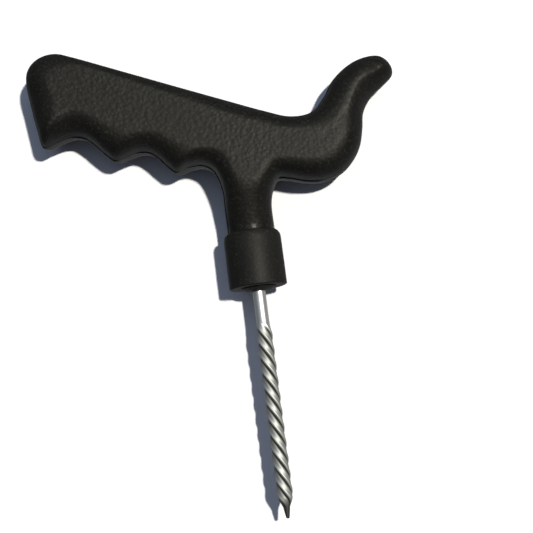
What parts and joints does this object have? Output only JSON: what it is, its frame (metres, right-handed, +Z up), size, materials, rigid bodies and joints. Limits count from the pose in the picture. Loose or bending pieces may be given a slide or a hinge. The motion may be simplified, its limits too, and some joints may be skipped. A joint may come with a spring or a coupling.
{
  "type": "tyre repair probe",
  "caption": "Hand tool with a moulded pistol grip, finger grooves and thumb horn, a collar on its neck, and a steel shaft with a spiral rasp that cleans a tyre puncture before plugging.",
  "frame": {"origin": "on the shaft axis, in the plane of the collar's mouth", "axes": "+Y along the shaft from the point towards the grip, +X towards the thumb horn, +Z up from the seam towards the front half; the tool lies on its back half"},
  "size_m": [0.1302, 0.1716, 0.0256],
  "materials": {
    "grip_plastic": "finely grained satin moulding",
    "collar_plastic": "finely grained satin moulding",
    "tool_steel": "bright cold-formed steel",
    "fixing_steel": "plain steel"
  },
  "bodies": {
    "root": {"front_half": "grip_plastic", "back_half": "grip_plastic", "collar": "collar_plastic", "probe": "tool_steel", "cross_pin": "fixing_steel", "shell_screws": "fixing_steel"}
  },
  "joints": []
}
